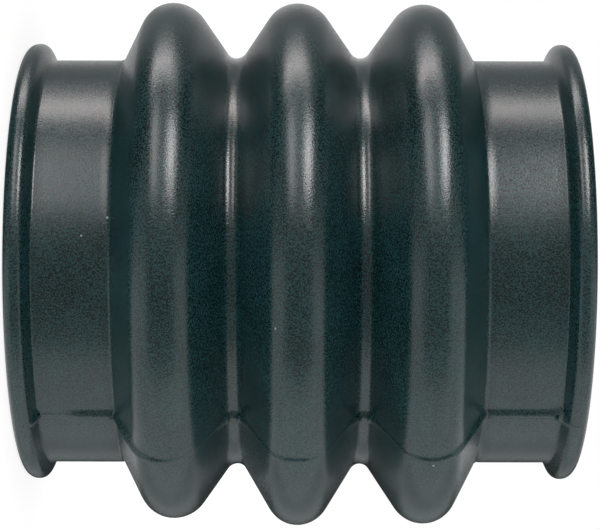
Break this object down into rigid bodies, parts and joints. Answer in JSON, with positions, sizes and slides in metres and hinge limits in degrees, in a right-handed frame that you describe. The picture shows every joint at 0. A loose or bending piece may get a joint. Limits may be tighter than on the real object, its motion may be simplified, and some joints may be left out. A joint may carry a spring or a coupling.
{
  "type": "drive shaft boot",
  "caption": "Black moulded rubber bellows boot with large rounded folds, a plain cuff and a rounded lip at each end, for sealing a drive shaft joint.",
  "frame": {"origin": "centre of the lower end face, on the surface that the boot stands on", "axes": "+Z along the boot's axis, from the lower end to the upper one; +X towards one of the two ridges at the mould's parting plane"},
  "size_m": [0.0962, 0.0958, 0.0992],
  "materials": {
    "moulded_rubber": "satin black moulded rubber with a fine dusty grain"
  },
  "bodies": {
    "root": {"drive_shaft_boot": "moulded_rubber"}
  },
  "joints": []
}
